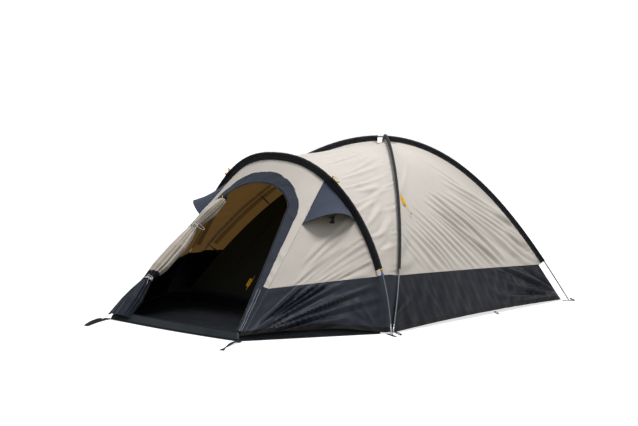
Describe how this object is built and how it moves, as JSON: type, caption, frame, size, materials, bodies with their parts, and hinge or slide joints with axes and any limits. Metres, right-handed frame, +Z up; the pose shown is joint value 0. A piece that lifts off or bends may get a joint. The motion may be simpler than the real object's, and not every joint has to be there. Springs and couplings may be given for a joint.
{
  "type": "tent",
  "caption": "Dome tent with crossing poles, a hooped porch with its door tied open, a hooded vent on each side and a dark skirt",
  "frame": {"origin": "on the ground, midway along the tent's whole length and width", "axes": "+Y from the porch to the rear, +X to the right of someone who looks into the rear from the porch, +Z up"},
  "size_m": [1.7674, 3.4996, 1.0853],
  "materials": {
    "light_cloth": "woven, matt",
    "dark_cloth": "coated, slightly shiny",
    "slate_cloth": "woven, matt",
    "sleeve_cloth": "woven, matt",
    "inner_cloth": "woven, matt",
    "floor_cloth": "coated, slightly shiny",
    "mesh_cloth": "fine net",
    "pole_metal": "anodised, satin",
    "tip_metal": "turned, bright",
    "webbing": "woven tape",
    "moulded_plastic": "moulded",
    "guy_cord": "braided",
    "pale_cord": "braided"
  },
  "bodies": {
    "tent": {"anchor_front_left": "webbing", "anchor_front_right": "webbing", "anchor_rear_left": "webbing", "anchor_rear_right": "webbing", "crown_patch": "slate_cloth", "door_flap": "light_cloth", "door_frame_trim": "slate_cloth", "door_zip": "webbing", "flap_tie_lower": "pale_cord", "flap_tie_upper": "pale_cord", "fly_front_roof": "light_cloth", "fly_rear": "light_cloth", "fly_side_left": "light_cloth", "fly_side_right": "light_cloth", "guyline_left": "guy_cord", "guyline_right": "guy_cord", "hoop_guy_loop_left": "guy_cord", "hoop_guy_loop_right": "guy_cord", "hoop_left_tip": "tip_metal", "hoop_pole": "pole_metal", "hoop_right_tip": "tip_metal", "inner_cord_hank": "guy_cord", "inner_door": "inner_cloth", "inner_floor": "floor_cloth", "inner_hook_lower": "moulded_plastic", "inner_hook_upper": "moulded_plastic", "inner_tent": "inner_cloth", "main_pole_1": "pole_metal", "main_pole_1_front_tip": "tip_metal", "main_pole_1_rear_tip": "tip_metal", "main_pole_2": "pole_metal", "main_pole_2_front_tip": "tip_metal", "main_pole_2_rear_tip": "tip_metal", "porch_front_panel": "light_cloth", "porch_groundsheet": "floor_cloth", "porch_side_left": "light_cloth", "porch_side_right": "light_cloth", "skirt_porch_left": "dark_cloth", "skirt_porch_right": "dark_cloth", "skirt_rear": "dark_cloth", "skirt_side_left": "dark_cloth", "skirt_side_right": "dark_cloth", "sleeve_hoop": "sleeve_cloth", "sleeve_left_front": "sleeve_cloth", "sleeve_left_rear": "sleeve_cloth", "sleeve_right_front": "sleeve_cloth", "sleeve_right_rear": "sleeve_cloth", "vent_hood_left": "slate_cloth", "vent_hood_right": "slate_cloth", "vent_mesh_left": "mesh_cloth", "vent_mesh_right": "mesh_cloth"},
    "zip_slider": {"door_zip_slider": "tip_metal"},
    "strut_right": {"vent_strut_right": "webbing"},
    "strut_left": {"vent_strut_left": "webbing"},
    "runner_right": {"guyline_runner_right": "tip_metal"},
    "runner_left": {"guyline_runner_left": "tip_metal"},
    "strap_right": {"porch_buckle_right": "moulded_plastic", "porch_strap_right": "webbing"},
    "strap_left": {"porch_buckle_left": "moulded_plastic", "porch_strap_left": "webbing"}
  },
  "joints": [
    {"name": "zip_slider_slide", "type": "slide", "parent": "tent", "child": "zip_slider", "axis": [-0.187, -0.6811, -0.7079], "range_m": [0, 0.25]},
    {"name": "strut_right_hinge", "type": "hinge", "parent": "tent", "child": "strut_right", "pos_m": [0.50478, -0.74816, 0.6321], "axis": [-0.424, -0.9057, 0], "range_deg": [0, 95]},
    {"name": "strut_left_hinge", "type": "hinge", "parent": "tent", "child": "strut_left", "pos_m": [-0.50478, -0.74816, 0.6321], "axis": [-0.424, 0.9057, 0], "range_deg": [0, 95]},
    {"name": "runner_right_slide", "type": "slide", "parent": "tent", "child": "runner_right", "axis": [-0.5734, -0.0457, 0.818], "range_m": [0, 0.035]},
    {"name": "runner_left_slide", "type": "slide", "parent": "tent", "child": "runner_left", "axis": [0.5798, -0.0414, 0.8137], "range_m": [0, 0.035]},
    {"name": "strap_right_hinge", "type": "hinge", "parent": "tent", "child": "strap_right", "pos_m": [0.44776, -1.47769, 0.003], "axis": [-0.9272, -0.3746, 0], "range_deg": [0, 60]},
    {"name": "strap_left_hinge", "type": "hinge", "parent": "tent", "child": "strap_left", "pos_m": [-0.45596, -1.48581, 0.003], "axis": [-0.9272, -0.3746, 0], "range_deg": [0, 60]}
  ]
}
